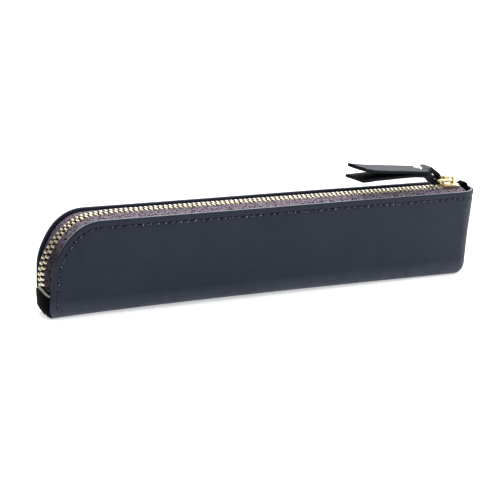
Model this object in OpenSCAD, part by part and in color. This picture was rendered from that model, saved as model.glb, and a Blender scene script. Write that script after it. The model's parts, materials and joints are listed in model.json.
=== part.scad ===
// Fountain pen case: two leather panels, wider at the mouth than at the base, closed by a
// metal zip that runs along the top and down one end, with a leather pull on its slider.
//
// The case stands on its base. X runs along it, with the zip's rounded corner at -X and the
// slider, at rest, at +X. The front faces -Y and Z is up. The origin is the middle of the base.

/* [Case] */
// Length over the zip at one end and the leather at the other
case_length = 200; // [180:1:220]
// Height of the leather panels
case_height = 39.4; // [37:0.1:42]
// Width over the panels at the mouth
mouth_width = 21.2; // [20:0.2:24]
// Width over the panels at the base
base_width = 13.6; // [13:0.2:16]
// How late the sides flare out on the way up; 1 is straight
flare = 1.44; // [1:0.02:1.8]
// Rounding of the zip corner along the length
corner_rx = 19.5; // [17:0.5:21]
// Rounding of the zip corner along the height
corner_rz = 21.5; // [19:0.5:23]
// Bend between a side and the base
base_bend = 3.5; // [3.3:0.1:4]
// The same bend where it turns round the seam end
end_bend = 5.6; // [4:0.2:6]
// Thickness of the leather
leather = 1.6; // [1.4:0.1:1.6]

/* [Zip] */
// Spacing of the teeth on one tape
pitch = 2.1; // [2:0.1:2.6]
// Width of one row of teeth, from its heads to its outer edge
row_width = 2.1; // [1.8:0.1:2.2]
// Thickness of the chain
chain_thick = 1.9; // [1.6:0.1:2]
// How far the chain stands above the panels along the top
top_bulge = 0.8; // [0.5:0.1:1]
// How far the chain stands out of the panels at the end
end_bulge = 1.65; // [1.4:0.05:1.8]
// How far the chain cuts the corner, inside the panels' edge
corner_dip = 1.5; // [0:0.1:1.6]
// Gap along the middle of the chain, which the slider's web passes through
chain_slot = 0.4; // [0.3:0.05:0.5]
// Thickness of the zip tape
tape = 0.5; // [0.4:0.1:0.5]

/* [Slider] */
// Length of the slider
slider_length = 8; // [7:0.5:8.5]
// Width of the slider at its shoulders
slider_width = 7.5; // [7:0.1:8]
// Thickness of each of its two plates
plate = 0.9; // [0.7:0.1:1]
// Diameter of the link's wire
wire = 1.4; // [1.2:0.1:1.4]
// Distance between the link's two bars
link_length = 7.2; // [6.8:0.2:8]

/* [Pull] */
// Width of the leather pull
pull_width = 12; // [10:0.5:14]
// Length of the pull from the link's bar to its free end
pull_length = 40.5; // [30:0.5:50]
// Thickness of each of the pull's two plies
ply = 1.55; // [1.3:0.05:1.6]
// Diameter of the rivet's cap
rivet_d = 4.4; // [4:0.2:5.5]

/* [Stitching] */
// Spacing of the stitches
stitch_pitch = 3.2; // [3:0.1:4]
// Distance of the stitches from the edge of the leather
stitch_inset = 3; // [2.5:0.1:3.5]
// Diameter of the thread
thread = 0.5; // [0.4:0.05:0.6]

/* [Hidden] */
$fn = 48;

fit = 0.08;            // running clearance of the pull round the link's bar
skin_gap = 0.05;       // gap between pieces that lie against each other
clear = 0.12;          // clearance between the slider and the chain

edge_x = -case_length / 2 + end_bulge;   // cut edges of the panels at the zip end
seam_x = case_length / 2;                // hidden seam at the other end
corner_x = edge_x + corner_rx;           // centre of the zip corner
corner_z = case_height - corner_rz;

lining = 0.6;
lining_depth = leather + tape + 0.15;    // how deep under the panel's face the lining starts
lining_inset = 2.6;                      // how far the lining stays below the zip edge

// ---- Shape of the case ----

// Half the width of the case at a height
function half_width(z) =
    (base_width + (mouth_width - base_width) * pow(max(z, 0) / case_height, flare)) / 2;

// Middle of the half-round seam end at a height
function turn_x(z) = seam_x - half_width(z);

// Half the width at a place on the case, measured to a surface that lies depth inside the face
function half_at(x, z, depth) = x <= turn_x(z)
    ? half_width(z) - depth
    : sqrt(pow(half_width(z) - depth, 2) - pow(x - turn_x(z), 2));

// Half the width at a height near the base, measured to a surface that lies depth inside the face
function base_half(z, depth) = z >= base_bend
    ? half_width(z) - depth
    : half_width(base_bend) - base_bend + sqrt(pow(base_bend - depth, 2) - pow(base_bend - z, 2));

// Height of the zip edge above a place along the case, moved in by inset
function edge_z(x, inset) = x >= corner_x
    ? case_height - inset
    : corner_z + (corner_rz - inset) * sqrt(max(0, 1 - pow((corner_x - x) / (corner_rx - inset), 2)));

// Radius of the bend at the base, which grows round the seam end
function bend_r(turn) = base_bend + (end_bend - base_bend) * pow(sin(turn), 2);

// ---- Sheets that follow the case's shape ----

base_rows = 2;
bend_rows = 5;
side_rows = 9;
corner_cols = 12;
turn_cols = 8;

// Columns of a sheet: [place along the case, or undef in the turn, angle of turn round the seam end]
function columns(inset) = concat(
    [for (k = [0:corner_cols]) [corner_x - (corner_rx - inset) * cos(90 * k / corner_cols), 0]],
    [for (k = [0:turn_cols]) [undef, 90 * k / turn_cols]]
);

// A point at a distance out from the middle, in a column, at a height where the turn's middle is xq
function out_at(col, reach, z, xq) = is_undef(col[0])
    ? [xq + reach * sin(col[1]), -reach * cos(col[1]), z]
    : [col[0], -reach, z];

// Place of a turn column's first point, on the seam along the base
function seam_start(turn) = turn_x(base_bend)
    + (turn_x(end_bend) + 0.6 * (half_width(end_bend) - end_bend) - turn_x(base_bend)) * turn / 90;

// Points of one column, from the middle of the base, round the bend and up to the zip edge
function column_points(col, depth, inset) =
    let (
        r = bend_r(col[1]),
        hw = half_width(r),
        xq = turn_x(r),
        top = is_undef(col[0]) ? case_height - inset : edge_z(col[0], inset),
        flat = hw - r,
        start = [is_undef(col[0]) ? seam_start(col[1]) : col[0], 0, depth],
        bend = out_at(col, flat, depth, xq)
    ) concat(
        [for (k = [0:base_rows - 1]) start + (bend - start) * k / base_rows],
        [for (k = [0:bend_rows - 1])
            let (a = 90 * k / bend_rows)
            out_at(col, flat + (r - depth) * sin(a), r - (r - depth) * cos(a), xq)],
        [for (k = [0:side_rows])
            let (z = r + (top - r) * k / side_rows)
            out_at(col, half_width(z) - depth, z, turn_x(z))]
    );

function skin(depth, inset) = [for (col = columns(inset)) column_points(col, depth, inset)];

// A closed solid between two grids of points of the same size
module between(face, back) {
    n = len(face);
    m = len(face[0]);
    skins = [for (side = [0, 1], j = [0:n - 2], i = [0:m - 2])
        let (a = (side * n + j) * m + i, b = a + m, c = b + 1, d = a + 1)
        each side == 0 ? [[a, b, d], [b, c, d]] : [[a, d, b], [b, d, c]]];
    long_rims = [for (j = [0:n - 2])
        let (a = j * m, b = a + m, c = b + m - 1, d = a + m - 1, k = n * m)
        each [[b, a, a + k], [b, a + k, b + k], [d, c, c + k], [d, c + k, d + k]]];
    cross_rims = [for (i = [0:m - 2])
        let (a = i, d = a + 1, b = (n - 1) * m + i, c = b + 1, k = n * m)
        each [[a, d, d + k], [a, d + k, a + k], [c, b, b + k], [c, b + k, c + k]]];
    polyhedron(concat([for (p = face) each p], [for (p = back) each p]),
        concat(skins, long_rims, cross_rims));
}

module opposite() {
    mirror([0, 1, 0]) children();
}

module panel() {
    between(skin(0, 0), skin(leather, 0));
}

module half_lining() {
    between(skin(lining_depth, lining_inset), skin(lining_depth + lining, lining_inset));
}

// ---- Path of the zip ----

// The zip's path starts at the seam end, runs along the top, round the corner and down the end.
zip_start = 90.2;                        // where the first teeth are, along X
tape_start = 93.9;                       // where the tapes end, along X
straight = zip_start - corner_x;
corner_run = 90 * PI / 180 * (corner_rx + corner_rz) / 2;
teeth_end_z = 10.4;                      // lowest tooth
down = corner_z - teeth_end_z;
zip_run = straight + corner_run + down;
tuck = 0.012;                            // how the chain curves in below the corner

// Turn of the path, from 0 along the top to 90 down the end
function path_turn(s) = s <= straight ? 0 : min(90, 90 * (s - straight) / corner_run);

// The stiff chain turns the corner more gently than the panels, so it dips inside their edge
dip_start = straight - 12;
dip_run = corner_run + 20;

function chain_dip(s) = s <= dip_start || s >= dip_start + dip_run
    ? 0
    : corner_dip * pow(sin(180 * (s - dip_start) / dip_run), 2);

// How far inside the panels' edge the middle of the chain lies
function chain_inset(s) =
    let (at_top = chain_thick / 2 - top_bulge, at_end = chain_thick / 2 - end_bulge)
    at_top + (at_end - at_top) * path_turn(s) / 90 + chain_dip(s);

// [x, z] of a point on the path, moved in from the panels' edge by inset
function on_path(s, inset) = s <= straight
    ? [zip_start - s, case_height - inset]
    : s <= straight + corner_run
        ? [corner_x - (corner_rx - inset) * sin(path_turn(s)),
           corner_z + (corner_rz - inset) * cos(path_turn(s))]
        : [edge_x + inset, corner_z - (s - straight - corner_run)];

// The chain's own path also curves in below the corner
function on_chain(s) = on_path(s, chain_inset(s))
    + [tuck * pow(max(0, s - straight - corner_run), 2), 0];

// Stands its children on the path: their X runs back along it and their Z points out of the case
module along_chain(s) {
    p = on_chain(s);
    translate([p[0], 0, p[1]]) rotate([0, -path_turn(s), 0]) children();
}

tooth_outer = chain_slot / 2 + row_width;
tape_edge = tooth_outer - 0.6;           // where the teeth grip the tape

// One tooth of the front row: thicker where it grips the tape
module tooth() {
    linear_extrude(chain_thick, center = true)
        polygon([[-0.62, -tooth_outer], [0.62, -tooth_outer], [0.62, -1.3], [0.45, -1],
            [0.55, -chain_slot / 2], [-0.55, -chain_slot / 2], [-0.45, -1], [-0.62, -1.3]]);
}

module teeth(offset_s) {
    for (k = [0:floor(zip_run / pitch) - 1]) along_chain(offset_s + k * pitch) tooth();
}

// Points across the front tape at one place: from the teeth, over to the panel, down its inside
across = 4;
tape_bend = 1.6;                         // how far below the edge the tape meets the panel
tape_drops = [2.5, 4.5, 6.5];            // how far below the edge it then runs

function tape_points(s, low) =
    let (
        mid = chain_inset(s),
        sink = on_chain(s) - on_path(s, mid),
        rest_x = on_path(s, tape_bend)
    ) concat(
        [for (k = [0:across])
            let (
                f = k / across,
                inset = mid + (tape_bend - mid) * f * f + (low ? tape / 2 : -tape / 2),
                p = on_path(s, inset) + sink * (1 - f),
                wall = half_at(rest_x[0], rest_x[1], leather + skin_gap),
                y = tape_edge + (wall - tape_edge) * f - (low && k == across ? tape : 0)
            )
            [p[0], -y, p[1]]],
        [for (drop = tape_drops)
            let (p = on_path(s, drop), wall = half_at(p[0], p[1], leather + skin_gap))
            [p[0], -wall + (low ? tape : 0), p[1]]]
    );

tape_stations = concat(
    [for (k = [0:4]) (zip_start - tape_start) * (1 - k / 4)],
    [for (k = [1:5]) dip_start * k / 5],
    [for (k = [1:3]) dip_start + (straight - dip_start) * k / 3],
    [for (k = [1:12]) straight + corner_run * k / 12],
    [for (k = [1:5]) straight + corner_run + (corner_z - 5) * k / 5]
);

module half_tape() {
    between([for (s = tape_stations) tape_points(s, true)], [for (s = tape_stations) tape_points(s, false)]);
}

// ---- Stitching ----

// Stitches along the front panel, from the seam end to just above the base
module stitch_row() {
    first = -4;
    last = straight + corner_run + corner_z - 3.4;
    for (s = [first:stitch_pitch:last]) {
        p = on_path(s, stitch_inset);
        lean = atan((half_width(p[1] + 1) - half_width(p[1] - 1)) / 2);
        translate([p[0], -half_at(p[0], p[1], 0), p[1]])
            rotate([lean, 0, 0]) rotate([0, -path_turn(s), 0])
                cube([stitch_pitch - 0.9, thread, thread], center = true);
    }
}

// ---- Sub-parts of the case ----

module front_panel() {
    color([0.17, 0.19, 0.24]) panel();
}

module back_panel() {
    color([0.16, 0.18, 0.23]) opposite() panel();
}

module front_lining() {
    color([0.12, 0.12, 0.15]) half_lining();
}

module back_lining() {
    color([0.12, 0.12, 0.15]) opposite() half_lining();
}

module front_stitching() {
    color([0.1, 0.1, 0.14]) stitch_row();
}

module back_stitching() {
    color([0.1, 0.1, 0.14]) opposite() stitch_row();
}

// Cross stitches inside the leather, along the base and up the seam end
module seam_stitching() {
    reach = 1.1;
    middle = leather / 2;
    low_end = seam_x - end_bend - 1;
    color([0.1, 0.1, 0.14]) {
        for (x = [edge_x + 3:stitch_pitch:low_end])
            translate([x, 0, middle]) rotate([90, 0, 0]) cylinder(d = thread, h = 2 * reach, center = true);
        for (z = [end_bend + 1:stitch_pitch:case_height - 3])
            translate([seam_x - middle, 0, z]) rotate([90, 0, 0])
                cylinder(d = thread, h = 2 * reach, center = true);
    }
}

module front_zip_tape() {
    color([0.36, 0.32, 0.37]) half_tape();
}

module back_zip_tape() {
    color([0.36, 0.32, 0.37]) opposite() half_tape();
}

module front_zip_teeth() {
    color([0.82, 0.74, 0.5]) teeth(0);
}

module back_zip_teeth() {
    color([0.82, 0.74, 0.5]) opposite() teeth(pitch / 2);
}

stop_x = 92.75;
stop_length = 1.1;

module top_stop() {
    translate([stop_x, -tooth_outer, case_height + top_bulge - chain_thick + 0.1])
        cube([stop_length, row_width, chain_thick - 0.2]);
}

module front_top_stop() {
    color([0.82, 0.74, 0.5]) top_stop();
}

module back_top_stop() {
    color([0.82, 0.74, 0.5]) opposite() top_stop();
}

// Small clamp that joins both tapes below the last teeth
module bottom_stop() {
    color([0.82, 0.74, 0.5])
        along_chain(zip_run + 2) cube([2.2, 2 * tooth_outer - 0.4, 0.8], center = true);
}

// Leather tab that closes the lower end, over the end of the zip
tab_height = 9.8;
tab_thick = 1.1;
tab_cols = 10;
tab_rise = [[2.9, 0.1], [0.6, 0.1], [0.1, 0.7], [0, 2.2], [0, 4.6], [0, tab_height - 1.75]];

function tab_points(inner) = [for (k = [-tab_cols:tab_cols])
    let (f = k / tab_cols)
    [for (step = tab_rise)
        let (
            z = leather + skin_gap + step[1],
            half = base_half(z, leather + skin_gap),
            dome = (end_bulge - 0.15) * (1 - pow(f, 4)) * (0.3 + 0.7 * z / tab_height),
            low = step[1] < 1
        )
        [edge_x + step[0] * (1 - 0.4 * abs(f)) - dome + (inner && !(low && step[0] > 1) ? tab_thick : 0),
         f * half, z + (inner && low ? tab_thick : 0)]]];

module zip_end_tab() {
    color([0.07, 0.07, 0.1]) between(tab_points(true), tab_points(false));
}

// Small leather arch that covers the ends of the tapes, beside the end seam
arch_r = 2.05;
arch_thick = 1.25;
arch_half = 1.8;

module zip_head_tab() {
    color([0.1, 0.1, 0.13]) translate([96.1, arch_half, case_height + 0.1]) rotate([90, 0, 0])
        linear_extrude(2 * arch_half) {
            difference() {
                circle(arch_r);
                circle(arch_r - arch_thick);
                translate([-2 * arch_r, -2 * arch_r]) square([4 * arch_r, 2 * arch_r]);
            }
            translate([-arch_r, -3.4]) square([arch_thick, 3.4]);
            translate([arch_r - arch_thick, -2.2]) square([arch_thick, 2.2]);
        }
}

// ---- Sub-parts of the slider ----

slider_x = 92.6 - slider_length;         // closed end of the slider, at rest
chain_top = case_height + top_bulge;
plate_z = chain_top + clear;             // underside of the upper plate
low_plate_z = chain_top - chain_thick - clear - plate;
flange = 1.2;
rail_in = tooth_outer + 0.2;             // inner face of the flanges
web = 0.2;                               // web that joins the plates, in the chain's slot

module slider_plan() {
    half = slider_width / 2;
    polygon([[0, -half + 0.6], [3.4, -half + 0.35], [5.6, -half], [7, -half + 0.2],
        [slider_length, -half + 1.5], [slider_length, half - 1.5], [7, half - 0.2],
        [5.6, half], [3.4, half - 0.35], [0, half - 0.6]]);
}

module rails(z, height) {
    translate([0, 0, z]) linear_extrude(height) difference() {
        slider_plan();
        translate([-1, -rail_in]) square([slider_length + 2, 2 * rail_in]);
    }
}

crown_x = 85.2 - slider_x;
crown_length = 5.8;
crown_top = plate_z + plate + 3.85;
crown_half = 1.2;
crown_wall = 0.8;
bar_x = 88 - slider_x;                   // the link's bar in the crown
bar_z = plate_z + plate + 1.95;
claw_x = 86.35 - slider_x;

module slider_body() {
    color([0.85, 0.74, 0.45]) translate([slider_x, 0, 0]) {
        difference() {
            translate([0, 0, plate_z]) linear_extrude(plate) slider_plan();
            translate([claw_x - 0.1, -0.45, plate_z - 1]) cube([0.7, 0.9, plate + 2]);
        }
        translate([0, 0, low_plate_z]) linear_extrude(plate) slider_plan();
        rails(plate_z - 0.6, 0.6);
        rails(low_plate_z + plate, 0.35);
        translate([slider_length - 1.6, -web / 2, low_plate_z + plate])
            cube([1.6, web, plate_z - low_plate_z - plate]);
    }
}

module slider_crown() {
    foot = plate_z + plate;
    color([0.85, 0.74, 0.45]) translate([slider_x + crown_x, crown_half, foot]) rotate([90, 0, 0])
        linear_extrude(2 * crown_half) difference() {
            union() {
                square([crown_length, crown_top - foot - 1]);
                translate([1, 0]) square([crown_length - 2, crown_top - foot]);
                for (x = [1, crown_length - 1]) translate([x, crown_top - foot - 1]) circle(1);
            }
            translate([crown_wall, -1]) square([crown_length - 2 * crown_wall, crown_top - foot - crown_wall + 1]);
        }
}

// Leaf under the crown, with the claw that drops between the teeth to lock the slider
module lock_spring() {
    leaf = 0.2;
    leaf_z = crown_top - crown_wall - leaf - 0.02;
    color([0.7, 0.7, 0.7]) translate([slider_x, -0.4, 0]) {
        translate([claw_x, 0, leaf_z]) cube([3.75, 0.8, leaf]);
        translate([claw_x, 0, plate_z + 0.05]) cube([0.4, 0.8, leaf_z - plate_z]);
    }
}

// ---- Sub-parts of the pull ----

neck_half = 2.2;
link_half = neck_half + 0.2 + wire / 2;
pull_x = slider_x + bar_x - link_length; // the link's other bar, which the pull is folded over

link_bend = 0.9;                         // bend of the wire at the link's corners

// One straight side of the link
module side(length) {
    rotate([0, 90, 0]) cylinder(d = wire, h = length, center = true);
}

module link_corner() {
    rotate_extrude(angle = 90) translate([link_bend, 0]) circle(d = wire);
}

module puller_link() {
    arm = link_length - 2 * link_bend;
    cross = 2 * (link_half - link_bend);
    color([0.85, 0.74, 0.45]) translate([pull_x + link_length / 2, 0, bar_z])
        for (turn = [0, 180]) rotate([0, 0, turn]) {
            translate([0, link_half, 0]) side(arm);
            translate([link_length / 2, 0, 0]) rotate([0, 0, 90]) side(cross);
            translate([arm / 2, cross / 2, 0]) link_corner();
            translate([-arm / 2, cross / 2, 0]) rotate([0, 0, 90]) link_corner();
        }
}

loop_in = wire / 2 + fit;
loop_out = loop_in + ply;

// Side view of the pull: distance from the bar towards the free end, and height above the bar.
// The stiff strip does not hug the bar: between the bar and the rivet its plies bulge apart.
module pull_profile() {
    knee = 8.3;
    knee_z = 3.9;
    upper_end = 7.35;
    lower_end = 3.6;
    loop = [for (a = [165:15:315]) loop_out * [cos(a), sin(a)]];
    lower = [[4.6, 1], [knee, knee_z - ply], [16, 2.95], [pull_length + 2, lower_end - ply / 2],
        [pull_length + 2, lower_end + ply / 2], [18, knee_z + 0.55]];
    upper = [[18, knee_z + 0.65], [pull_length + 2, upper_end - ply / 2],
        [pull_length + 2, upper_end + ply / 2], [20, 6.35], [7.2, 5.37]];
    hump = [[4.8, 6.5], [3.2, 5.9], [1.3, 4.75], [0, 3.95], [-1.2, 3.15], [-2.1, 2.1]];
    inside = [[-0.4, 0.6], [-0.3, 1.75], [0.85, 2.55], [2.2, 3.4], [4.1, 4.85], [6.3, 4.1],
        [3.8, 2.3], [0.6, -0.5]];
    difference() {
        polygon(concat(loop, lower, upper, hump));
        circle(loop_in);
        polygon(inside);
    }
}

// Plan of the pull: a narrow neck at the link, and a slightly slanting free end
module pull_plan() {
    half = pull_width / 2;
    slant = 1;
    polygon([[-loop_out - 1, -neck_half], [3.6, -neck_half], [8.6, -half], [pull_length - 1 - slant, -half],
        [pull_length - 1 + slant, half], [8.6, half], [3.6, neck_half], [-loop_out - 1, neck_half]]);
}

rivet_at = 9.4;                          // distance of the rivet from the bar
rivet_pitch = 4.5;                       // slope of the pull there, in degrees
rivet_top = 5.5;                         // height above the bar of the upper ply's face there
shank_d = 2;

// Puts its children, drawn towards the free end, on the link's bar
module on_pull() {
    translate([pull_x, 0, bar_z]) mirror([1, 0, 0]) children();
}

module on_rivet() {
    on_pull() translate([rivet_at, 0, rivet_top]) rotate([0, -rivet_pitch, 0]) children();
}

module pull_strap() {
    color([0.2, 0.22, 0.27]) difference() {
        on_pull() intersection() {
            rotate([90, 0, 0]) linear_extrude(pull_width, center = true) pull_profile();
            translate([0, 0, -10]) linear_extrude(30) pull_plan();
        }
        on_rivet() translate([0, 0, -6]) cylinder(d = shank_d, h = 12);
    }
}

// Domed cap, a slice of a ball
module rivet_cap() {
    rise = 1.1;
    ball_r = (pow(rivet_d / 2, 2) + rise * rise) / (2 * rise);
    color([0.86, 0.86, 0.87]) on_rivet() translate([0, 0, 0.15]) intersection() {
        translate([0, 0, rise - ball_r]) sphere(ball_r);
        cylinder(d = rivet_d + 1, h = rise + 1);
    }
}

module rivet_post() {
    grip = 3.5;
    color([0.86, 0.86, 0.87]) on_rivet() {
        translate([0, 0, -grip]) cylinder(d = shank_d, h = grip + 0.15);
        translate([0, 0, -grip - 0.5]) cylinder(d = rivet_d - 0.4, h = 0.5);
    }
}

front_panel();
back_panel();
front_lining();
back_lining();
front_stitching();
back_stitching();
seam_stitching();
front_zip_tape();
back_zip_tape();
front_zip_teeth();
back_zip_teeth();
front_top_stop();
back_top_stop();
bottom_stop();
zip_end_tab();
zip_head_tab();
slider_body();
slider_crown();
lock_spring();
puller_link();
pull_strap();
rivet_cap();
rivet_post();
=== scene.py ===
import json
import math

import bmesh
import bpy
from mathutils import Matrix, Vector, noise


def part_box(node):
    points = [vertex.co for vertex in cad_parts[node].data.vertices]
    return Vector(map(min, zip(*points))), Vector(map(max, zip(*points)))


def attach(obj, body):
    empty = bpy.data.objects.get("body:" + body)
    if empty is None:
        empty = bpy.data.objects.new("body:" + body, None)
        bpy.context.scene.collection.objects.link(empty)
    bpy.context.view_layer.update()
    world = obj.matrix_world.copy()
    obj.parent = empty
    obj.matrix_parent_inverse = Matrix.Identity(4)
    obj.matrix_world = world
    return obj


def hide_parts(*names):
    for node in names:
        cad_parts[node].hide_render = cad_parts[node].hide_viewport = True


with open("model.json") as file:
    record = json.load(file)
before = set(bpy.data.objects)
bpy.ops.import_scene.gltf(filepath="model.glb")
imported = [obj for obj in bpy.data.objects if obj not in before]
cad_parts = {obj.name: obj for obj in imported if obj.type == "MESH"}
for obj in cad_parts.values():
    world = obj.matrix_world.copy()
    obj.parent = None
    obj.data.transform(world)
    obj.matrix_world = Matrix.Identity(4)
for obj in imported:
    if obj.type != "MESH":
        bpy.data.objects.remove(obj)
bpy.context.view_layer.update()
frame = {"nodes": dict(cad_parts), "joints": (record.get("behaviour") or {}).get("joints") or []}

# Every shape is worked out in millimetres, in the frame of the case, and made in metres.
MM = 0.001

# ---- Camera ----

AIM = Vector((0.0008, 0.0, 0.02055))    # the point the camera looks at
AZIMUTH, ELEVATION, ROLL = math.radians(-29.74), math.radians(16.36), math.radians(3.81)
DISTANCE = 0.5777
LENS = 100.4


def make_camera():
    """A camera on the aim, turned about its own line of sight by the roll."""
    back = Vector((math.sin(AZIMUTH) * math.cos(ELEVATION),
                   -math.cos(AZIMUTH) * math.cos(ELEVATION), math.sin(ELEVATION)))
    right = Vector((0, 0, 1)).cross(back).normalized()
    up = back.cross(right)
    turned_right = right * math.cos(ROLL) + up * math.sin(ROLL)
    turned_up = up * math.cos(ROLL) - right * math.sin(ROLL)
    data = bpy.data.cameras.new("camera")
    data.lens = LENS
    data.sensor_width = 36.0
    data.shift_x, data.shift_y = -0.0414, -0.0124
    camera = bpy.data.objects.new("camera", data)
    bpy.context.collection.objects.link(camera)
    turn = Matrix((turned_right, turned_up, back)).transposed().to_4x4()
    camera.matrix_world = Matrix.Translation(AIM + back * DISTANCE) @ turn
    bpy.context.scene.camera = camera


make_camera()

# ---- Sizes, from the frame and from the case's construction ----

panel_low, panel_high = (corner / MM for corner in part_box("front_panel"))
EDGE_X, SEAM_X, HEIGHT = panel_low.x, panel_high.x, panel_high.z
MOUTH_WIDTH = -2 * panel_low.y
BASE_WIDTH = 13.6
FLARE = 1.44
CORNER_RX, CORNER_RZ = 19.5, 21.5
BASE_BEND, END_BEND = 3.5, 5.6
BASE_BOW = 0.9                          # how far the middle of the base arches up
LEATHER = 1.6
TAPE = 0.5
LINING_DEPTH, LINING_INSET, LINING = 2.25, 2.6, 0.6
CORNER_X, CORNER_Z = EDGE_X + CORNER_RX, HEIGHT - CORNER_RZ

PITCH = 2.1
CHAIN_THICK = 1.9
TOP_BULGE, END_BULGE = 0.8, 1.65
ZIP_START, TAPE_START = 90.2, 93.9
TEETH_END_Z = 10.4
TUCK = 0.020                            # how fast the chain draws in below the corner
LEAN_RUN = 24                           # how far along the case its drawn-in end reaches
STRAIGHT = ZIP_START - CORNER_X
CORNER_RUN = math.pi / 2 * (CORNER_RX + CORNER_RZ) / 2
ZIP_RUN = STRAIGHT + CORNER_RUN + CORNER_Z - TEETH_END_Z
CORNER_DIP = 1.5                        # how far the chain cuts the corner
DIP_START, DIP_RUN = STRAIGHT - 12, CORNER_RUN + 20

STITCH_PITCH, STITCH_INSET, STITCH_FIRST = 3.2, 3.0, -4.0


def mix(a, b, t):
    return a + (b - a) * t


def smooth(t):
    t = min(max(t, 0.0), 1.0)
    return t * t * (3 - 2 * t)


def bell(t):
    return math.exp(-t * t)


# ---- The case's shape, in millimetres ----

def half_width(z):
    """Half the case's width at a height."""
    return (BASE_WIDTH + (MOUTH_WIDTH - BASE_WIDTH) * (max(z, 0.0) / HEIGHT) ** FLARE) / 2


def turn_x(z):
    """Where a side stops being straight and turns into the seam end."""
    return SEAM_X - half_width(z)


def half_at(x, z, depth):
    """Half the width at a place, measured to a surface that lies depth inside the face."""
    reach = half_width(z) - depth
    past = x - turn_x(z)
    return reach if past <= 0 else math.sqrt(max(reach * reach - past * past, 0.0))


def edge_z(x, inset):
    """Height of the zip edge above a place, moved in by inset."""
    if x >= CORNER_X:
        return HEIGHT - inset
    across = min((CORNER_X - x) / (CORNER_RX - inset), 1.0)
    return CORNER_Z + (CORNER_RZ - inset) * math.sqrt(1 - across * across)


def path_turn(s):
    """Turn of the zip's path, from 0 along the top to a right angle down the end."""
    return min(max((s - STRAIGHT) / CORNER_RUN, 0.0), 1.0) * math.pi / 2


def chain_inset(s):
    """How far inside the panels' edge the middle of the chain lies."""
    top, end = CHAIN_THICK / 2 - TOP_BULGE, CHAIN_THICK / 2 - END_BULGE
    along = min(max((s - DIP_START) / DIP_RUN, 0.0), 1.0)
    dip = CORNER_DIP * math.sin(math.pi * along) ** 2
    return mix(top, end, path_turn(s) / (math.pi / 2)) + dip


def on_path(s, inset):
    """(x, z) of a point on the zip's path, moved in from the panels' edge."""
    if s <= STRAIGHT:
        return ZIP_START - s, HEIGHT - inset
    if s <= STRAIGHT + CORNER_RUN:
        a = path_turn(s)
        return (CORNER_X - (CORNER_RX - inset) * math.sin(a),
                CORNER_Z + (CORNER_RZ - inset) * math.cos(a))
    return EDGE_X + inset, CORNER_Z - (s - STRAIGHT - CORNER_RUN)


def chain_sink(s):
    """How far the chain is drawn in below the corner, towards its stop."""
    return TUCK * max(0.0, s - STRAIGHT - CORNER_RUN) ** 2


def path_place(x, z):
    """(distance along the zip's path, distance in from its edge) of a place on a panel."""
    if x >= CORNER_X:
        return ZIP_START - x, HEIGHT - z
    if z <= CORNER_Z:
        return STRAIGHT + CORNER_RUN + CORNER_Z - z, x - EDGE_X
    across, up = (CORNER_X - x) / CORNER_RX, (z - CORNER_Z) / CORNER_RZ
    a = math.atan2(across, up)
    radius = mix(CORNER_RZ, CORNER_RX, math.sin(a) ** 2)
    return STRAIGHT + CORNER_RUN * a / (math.pi / 2), (1 - math.hypot(across, up)) * radius


def leaned(point):
    """The point with the case's left end drawn in a little, most at its foot and on the front."""
    x, y, z = point
    near = 1 - smooth((x - EDGE_X) / LEAN_RUN)
    if not near:
        return point
    shoulder = 0.6 * bell((z - 30) / 7)
    foot = 1.5 * bell(z / 2.0)
    front = 0.7 * smooth(-y / 5)
    return x + (0.25 + shoulder + foot + front) * near, y, z


# ---- Meshes ----

def make(name, points, faces, materials, body, replaces=(), face_materials=None, sharp=40):
    """A piece from points in millimetres, riding on a body, with the case's own pieces leaned.
    Edges sharper than the angle stay crisp."""
    mesh = bpy.data.meshes.new(name)
    if body == "case":
        points = [leaned(p) for p in points]
    mesh.from_pydata([tuple(c * MM for c in p) for p in points], [], faces)
    for material in materials:
        mesh.materials.append(material)
    if face_materials:
        mesh.polygons.foreach_set("material_index", face_materials)
    form = bmesh.new()
    form.from_mesh(mesh)
    bmesh.ops.recalc_face_normals(form, faces=form.faces)
    for face in form.faces:
        face.smooth = True
    for edge in form.edges:
        if len(edge.link_faces) == 2 and edge.calc_face_angle(0.0) > math.radians(sharp):
            edge.smooth = False
    form.to_mesh(mesh)
    form.free()
    piece = bpy.data.objects.new(name, mesh)
    bpy.context.collection.objects.link(piece)
    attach(piece, body)
    if replaces:
        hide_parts(*replaces)
    return piece


def soften(piece, width, segments, angle):
    """Rounds a metal piece's edges, so that they catch the light."""
    bevel = piece.modifiers.new("bevel", "BEVEL")
    bevel.width = width * MM
    bevel.segments = segments
    bevel.limit_method = "ANGLE"
    bevel.angle_limit = math.radians(angle)
    return piece


def loft(rings, caps=True):
    """Points and faces of a skin through closed rings of the same number of points."""
    n, m = len(rings), len(rings[0])
    points = [p for ring in rings for p in ring]
    faces = []
    for j in range(n - 1):
        for i in range(m):
            k = (i + 1) % m
            faces.append((j * m + i, (j + 1) * m + i, (j + 1) * m + k, j * m + k))
    if caps:
        faces.append(tuple(range(m)))
        faces.append(tuple((n - 1) * m + i for i in reversed(range(m))))
    return points, faces


def joined(parts):
    """One list of points and faces from several."""
    points, faces = [], []
    for more_points, more_faces in parts:
        start = len(points)
        points += more_points
        faces += [tuple(i + start for i in face) for face in more_faces]
    return points, faces


def oblong(half_a, half_b, count, power):
    """A rounded rectangle of points round the origin."""
    ring = []
    for k in range(count):
        a = 2 * math.pi * (k + 0.5) / count
        c, s = math.cos(a), math.sin(a)
        r = (abs(c) ** power + abs(s) ** power) ** (-1 / power)
        ring.append((half_a * r * c, half_b * r * s))
    return ring


# ---- Materials ----

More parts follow.
